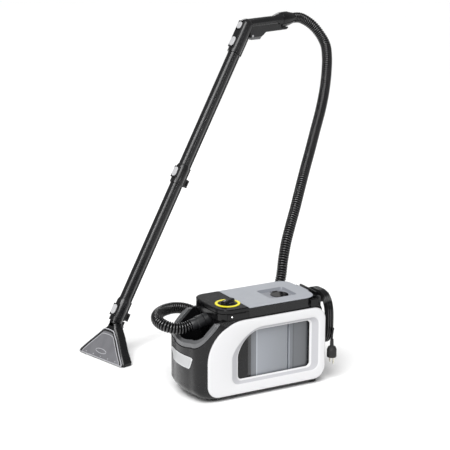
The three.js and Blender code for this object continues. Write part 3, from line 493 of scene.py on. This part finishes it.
def add_cable():
    """The mains cable: out of its gland, round the hooks and down to the plug."""
    route = [CABLE_GLAND_MM, *LEAD_MM, *coil_points(), *TAIL_MM, PLUG_MM]
    points = smooth_path([at(*p) for p in route], 0.006)
    data = bpy.data.curves.new("mains_cable", "CURVE")
    data.dimensions = "3D"
    data.bevel_depth = CABLE_DIAMETER / 2
    data.bevel_resolution = 3
    data.use_fill_caps = True
    spline = data.splines.new("POLY")
    spline.points.add(len(points) - 1)
    for target, point in zip(spline.points, points):
        target.co = (*point, 1)
    spline.use_smooth = True
    data.materials.append(CABLE_VINYL)
    cable = link(bpy.data.objects.new("mains_cable", data))
    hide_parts("mains_cable_coil", "mains_cable_lead", "mains_cable_drop")
    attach(cable, "machine")


add_hose()
add_cable()


# ---- CAD nodes that keep their shape ----
KEPT = {
    BLACK: ["upper_cable_hook", "lower_cable_hook", "hose_cuff"],
    TUBE_BLACK: ["lower_tube", "upper_tube"],
    CHARCOAL: [
        "base_pan", "switch_block", "float_cage", "hose_socket", "hose_connector", "turbine_housing",
        "water_pump", "suction_duct", "cable_clip", "lid_hinge_pin",
    ],
    CONSOLE_BLACK: ["fascia_panel", "lid_latch"],
    GLOSS: ["fill_cap"],
    SILVER: ["turbine_rotor"],
    PLAIN_PLATE: ["badge_plate"],
    YELLOW: ["knob_ring"],
    TRIGGER_GREY: ["spray_trigger"],
    RUBBER: ["cable_gland", "lid_seal", "foot_1", "foot_2", "foot_3", "foot_4"],
    STEEL: ["suction_motor", "pump_plunger", "trigger_pin", "base_screw_front", "base_screw_rear"],
    FOAM: ["float_ball", "exhaust_filter"],
    CLEAR_TANK: ["dirty_water_tank"],
    SMOKE_TANK: ["fresh_water_tank"],
    NOZZLE_CLEAR: ["nozzle_window"],
    LAMP: ["status_lamp"],
}

# nodes whose edges are rounder than the rest: (node, material, bevel width)
ROUNDED = (
    ("body_shell", BLACK, 0.0015),
    ("console_cover", CONSOLE_BLACK, 0.005),
    ("tank_collar", BLACK, 0.0025),
    ("rotary_knob", CONSOLE_BLACK, 0.0015),
    ("tank_lid", GREY_LID, 0.0018),
    ("hose_bay_rim", RIM_GREY, 0.0025),
    ("handle_shell", TUBE_BLACK, 0.0025),
    ("floor_nozzle", BLACK, 0.0015),
    ("nozzle_latch_button", BUTTON_GREY, 0.004),
    ("tube_latch_button", BUTTON_GREY, 0.004),
    ("handle_latch_button", BUTTON_GREY, 0.004),
    ("handle_slide_button", BUTTON_GREY, 0.004),
)

for material, names in KEPT.items():
    for name in names:
        skin(name, material)
for name, material, width in ROUNDED:
    skin(name, material, width)

for name, material in (("plug_body", RUBBER), ("plug_pin_near", BRASS), ("plug_pin_far", BRASS)):
    node = frame["nodes"][name]
    node.data.materials.clear()
    node.data.materials.append(material)


# ---- side frames ----
FRAME_MM = {"x0": -189, "x1": 219, "z0": 15.5, "z1": 243}
WINDOW_MM = {"x0": -82, "x1": 168, "z0": 58, "z1": 204}
FRAME_FACE_MM = 100
FRAME_BACK_MM = 85
FRAME_EDGE_MM = 6
FRAME_EDGE_STEPS = 5
# rings of the border, from the frame's face in to the window: (wider, taller, below the face)
BORDER_MM = (
    (31, 14, 0), (28, 12.5, 0.5), (25, 11, 1.6), (5, 3.6, 9), (2.4, 2, 9.9), (0.6, 0.6, 11), (0, 0, 12.2),
)
SLOPE_RING = 2  # the border's long slope starts at this ring


def bezier(p0, p1, p2, p3, steps):
    points = []
    for i in range(steps):
        t = i / steps
        u = 1 - t
        weights = (u ** 3, 3 * u * u * t, 3 * u * t * t, t ** 3)
        points.append(tuple(sum(w * p[k] for w, p in zip(weights, (p0, p1, p2, p3))) for k in range(2)))
    return points


def arc(cx, cz, radius, start, end, steps):
    angles = [start + (end - start) * i / steps for i in range(steps)]
    return [(cx + radius * math.cos(a), cz + radius * math.sin(a)) for a in angles]


def side_outline(x0, x1, z0, z1, corner, sweep_z, sweep_x, pull):
    """The frame's outline: three round corners and one long sweep at the upper front."""
    quarter = math.pi / 2
    points = bezier((x0, sweep_z), (x0, sweep_z + pull[0]), (sweep_x - pull[1], z1), (sweep_x, z1), 40)
    points += [(sweep_x + (x1 - corner - sweep_x) * i / 4, z1) for i in range(4)]
    points += arc(x1 - corner, z1 - corner, corner, quarter, 0, 16)
    points += [(x1, z1 - corner + (z0 + corner - z1 + corner) * i / 4) for i in range(4)]
    points += arc(x1 - corner, z0 + corner, corner, 0, -quarter, 16)
    points += [(x1 - corner + (x0 + corner - x1 + corner) * i / 4, z0) for i in range(4)]
    points += arc(x0 + corner, z0 + corner, corner, -quarter, -2 * quarter, 16)
    points += [(x0, z0 + corner + (sweep_z - z0 - corner) * i / 4) for i in range(4)]
    return points


def frame_outline(inset):
    m = FRAME_MM
    return side_outline(
        m["x0"] + inset, m["x1"] - inset, m["z0"] + inset, m["z1"] - inset, 40 - inset, 125, -61,
        (65 - inset / 2, 79 - inset / 2),
    )


def window_outline(grow, grow_z):
    m = WINDOW_MM
    return side_outline(
        m["x0"] - grow, m["x1"] + grow, m["z0"] - grow_z, m["z1"] + grow_z, 13 + grow * 0.4, 127, -4,
        (24 + grow * 0.2, 47),
    )


def add_side_frame(name, side):
    """White side frame: a rounded outer edge, and a border that slopes in to the window, with painted shade
    on its slope.
    """
    edge = FRAME_FACE_MM - FRAME_EDGE_MM
    levels = [(frame_outline(0), FRAME_BACK_MM), (frame_outline(0), edge)]
    for i in range(1, FRAME_EDGE_STEPS + 1):
        turn = math.pi / 2 * i / FRAME_EDGE_STEPS
        inset = FRAME_EDGE_MM * (1 - math.cos(turn))
        levels.append((frame_outline(inset), edge + FRAME_EDGE_MM * math.sin(turn)))
    slope = {len(levels) + SLOPE_RING, len(levels) + SLOPE_RING + 1}
    for wider, taller, below in BORDER_MM:
        levels.append((window_outline(wider, taller), FRAME_FACE_MM - below))
    levels.append((window_outline(0, 0), FRAME_BACK_MM))
    rings = [[at(x, side * y, z) for x, z in outline] for outline, y in levels]
    piece = loft(name + "_shell", rings, WHITE, endless=True)
    # the slope's faces take the greyer white: painted shade
    piece.data.materials.append(WHITE_SLOPE_SHADE)
    points = len(rings[0])
    for face in piece.data.polygons:
        if {corner // points for corner in face.vertices} == slope:
            face.material_index = 1
    soften(piece, 0.0004, angle=50)
    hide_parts(name)
    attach(piece, body_of[name])


add_side_frame("side_frame_near", -1)
add_side_frame("side_frame_far", 1)


# ---- floor nozzle: its clear front with raised outlines ----
NOZZLE_HEADING = math.radians(14)
NOZZLE_FOOT_MM = (-231.1, 433.9)
NOZZLE_WALL_MM = 3.35
# the nozzle's outline up its face: (height, half width, front)
NOZZLE_LEVELS_MM = ((4, 106, -68), (10, 106, -66), (36, 81, -55), (70, 47, -37), (94, 22, -27.5))


def nozzle_level(z):
    """The nozzle's half width and front at a height."""
    for low, high in zip(NOZZLE_LEVELS_MM, NOZZLE_LEVELS_MM[1:]):
        if z <= high[0]:
            break
    share = (z - low[0]) / (high[0] - low[0])
    return [a + (b - a) * share for a, b in zip(low[1:], high[1:])]


def nozzle_point(across, z, proud):
    """A point on the outer face of the nozzle's window, from the nozzle's middle line and the floor."""
    front = nozzle_level(z)[1] - NOZZLE_WALL_MM - proud
    x = front * math.cos(NOZZLE_HEADING) - across * math.sin(NOZZLE_HEADING) + NOZZLE_FOOT_MM[0]
    y = front * math.sin(NOZZLE_HEADING) + across * math.cos(NOZZLE_HEADING) + NOZZLE_FOOT_MM[1]
    return at(x, y, z)


def add_rib(name, path, radius_mm, material=EDGE_GREY):
    rib = loft(name, tube_rings(path, [radius_mm * 0.001] * len(path), 8), material)
    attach(rib, body_of["floor_nozzle"])


def outline_path(inset, z_low, z_high, proud):
    """Up one side of the window, over the top and down the other."""
    steps = 12
    heights = [z_low + (z_high - z_low) * i / steps for i in range(steps + 1)]
    halves = [nozzle_level(z)[0] - inset for z in heights]
    left = [nozzle_point(half, z, proud) for half, z in zip(halves, heights)]
    right = [nozzle_point(-half, z, proud) for half, z in zip(reversed(halves), reversed(heights))]
    return smooth_path(left + right, 0.004)


def add_nozzle_details():
    """Raised lines round the window, a plain oval and a row of five dots."""
    add_rib("window_edge", outline_path(1.5, 5.5, 91, -0.2), 1.5)
    lip_half = 104
    add_rib("window_lip", [nozzle_point(lip_half * (1 - i / 5), 5.5, -0.2) for i in range(11)], 1.6)
    add_rib("window_border", outline_path(7, 7, 86, -0.6), 3.2, BLACK)
    add_rib("window_inner_line", outline_path(14, 8, 76, -0.3), 1.1)
    turns = [2 * math.pi * i / 28 for i in range(28)]
    oval = [nozzle_point(5 + 25 * math.cos(a), 27 + 6.5 * math.sin(a), -0.2) for a in turns]
    add_rib("window_oval", oval + oval[:1], 1.0)
    for i in range(5):
        middle = 36 * (i - 2)
        dot = [nozzle_point(middle + end, 12, -0.2) for end in (-2, 2)]
        add_rib(f"window_dot_{i + 1}", dot, 1.3)


add_nozzle_details()


# ---- small parts of the deck and the handle ----
GRIP_CENTRE_MM = Vector((323.95, 572.29, 1012.24))
GRIP_AHEAD = Vector((math.cos(NOZZLE_HEADING), math.sin(NOZZLE_HEADING), 0))
GRIP_ACROSS = Vector((math.sin(NOZZLE_HEADING), -math.cos(NOZZLE_HEADING), 0))
UP = Vector((0, 0, 1))
PIN_AHEAD_MM = 18.5
PIN_BELOW_MM = 41.5
# rings of the pin's cap: (millimetres across the grip, radius in metres)
PIN_CAP_RINGS = ((11.9, 0.0042), (12.6, 0.0042), (13.2, 0.0034))
KNOB_MM = Vector((-85, -30.5, 280))
KNOB_TURN = math.radians(28)
KNOB_RIDGE_MM = 12.1
POINTER_REACHES_MM = (8, 12, 16, 20)
POINTER_RADIUS = 0.0009
# the space of the lid's recess, corner to corner
RECESS_LOW_MM = (50, -54, 272.5)
RECESS_HIGH_MM = (146, 37, 279.9)
BADGE_BORDER = 0.0028


def add_pin_cap():
    """The round end of the trigger's pin on the near side of the handle."""
    centre = GRIP_CENTRE_MM + GRIP_AHEAD * PIN_AHEAD_MM - UP * PIN_BELOW_MM
    ends = [at(*(centre + GRIP_ACROSS * across)) for across, _ in PIN_CAP_RINGS]
    cap = loft("trigger_pin_cap", tube_rings(ends, [radius for _, radius in PIN_CAP_RINGS], 20), BUTTON_GREY)
    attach(cap, body_of["trigger_pin"])


def add_pointer():
    """A pale line along the front end of the knob's ridge."""
    along = Vector((math.cos(KNOB_TURN), math.sin(KNOB_TURN), 0))
    line = [at(*(KNOB_MM - along * reach + UP * KNOB_RIDGE_MM)) for reach in POINTER_REACHES_MM]
    pointer = loft("knob_pointer", tube_rings(line, [POINTER_RADIUS] * len(line), 8), BUTTON_GREY)
    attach(pointer, body_of["rotary_knob"])


def paint_recess_shade(piece):
    """Painted shade: the lid's recess is a darker grey than its top."""
    piece.data.materials.append(RECESS_SHADE)
    low, high = at(*RECESS_LOW_MM), at(*RECESS_HIGH_MM)
    for face in piece.data.polygons:
        if all(a < c < b for a, c, b in zip(low, face.center, high)):
            face.material_index = 1


def frame_badge(piece):
    """A bright border round a plain field on the badge."""
    piece.data.materials.append(PLAIN_FIELD)
    bm = bmesh.new()
    bm.from_mesh(piece.data)
    outer = [f for f in bm.faces if f.normal.x < -0.3 and f.calc_area() > 1e-6]
    bmesh.ops.inset_region(bm, faces=outer, thickness=BADGE_BORDER, depth=0.0)
    for f in outer:
        f.material_index = 1
    bm.to_mesh(piece.data)
    bm.free()


add_pin_cap()
add_pointer()
paint_recess_shade(skins["tank_lid"])
frame_badge(skins["badge_plate"])


# ---- stage ----
FLOOR_SIZE = 60
BACKDROP_SEEN = 1.0
BACKDROP_GIVEN = 0.32
SUN = {"strength": 3.05, "direction": (-0.5, -0.6, 1.0), "softness": 40}
# name, place, what it points at, width and height, watts
AREA_LIGHTS = (
    ("left_strip", (-2.6, -1.2, 2.2), (0, -0.2, 0.3), (0.1, 2.2), 26),
    ("front_fill", (1.2, -4.0, 1.6), (0, 0, 0.3), (0.9, 0.12), 9),
    ("back", (0.8, 3.0, 2.6), (0, 0, 0.5), (2.0, 1.0), 30),
)


def add_floor():
    bpy.ops.mesh.primitive_plane_add(size=FLOOR_SIZE, location=(0, 0, 0))
    floor = bpy.context.object
    floor.name = "floor"
    material, tree, shader = new_material("floor_white")
    white = ramp(tree, noise(tree, 2), (0.95, 0.95, 0.95), (0.96, 0.96, 0.96))
    tree.links.new(white, shader.inputs["Base Color"])
    shader.inputs["Roughness"].default_value = 0.8
    shader.inputs["Specular IOR Level"].default_value = 0.2
    floor.data.materials.append(material)


def add_area_light(name, location, target, size, power):
    data = bpy.data.lights.new(name, "AREA")
    data.shape = "RECTANGLE"
    data.size = size[0]
    data.size_y = size[1]
    data.energy = power
    light = link(bpy.data.objects.new(name, data))
    light.location = location
    light.rotation_euler = (Vector(target) - Vector(location)).to_track_quat("-Z", "Y").to_euler()


def add_sun(strength, direction, softness):
    data = bpy.data.lights.new("sun", "SUN")
    data.energy = strength
    data.angle = math.radians(softness)
    sun = link(bpy.data.objects.new("sun", data))
    sun.rotation_euler = (-Vector(direction)).to_track_quat("-Z", "Y").to_euler()


def add_world(seen, given):
    """A white backdrop that lights the object less than it shows."""
    world = bpy.data.worlds.new("studio")
    bpy.context.scene.world = world
    world.use_nodes = True
    tree = world.node_tree
    light_path = tree.nodes.new("ShaderNodeLightPath")
    reach = tree.nodes.new("ShaderNodeMapRange")
    reach.inputs["To Min"].default_value = given
    reach.inputs["To Max"].default_value = seen
    tree.links.new(light_path.outputs["Is Camera Ray"], reach.inputs["Value"])
    background = tree.nodes["Background"]
    background.inputs["Color"].default_value = (1, 1, 1, 1)
    tree.links.new(reach.outputs["Result"], background.inputs["Strength"])


bpy.context.scene.view_settings.view_transform = "Standard"
add_floor()
add_world(BACKDROP_SEEN, BACKDROP_GIVEN)
add_sun(**SUN)
for light in AREA_LIGHTS:
    add_area_light(*light)
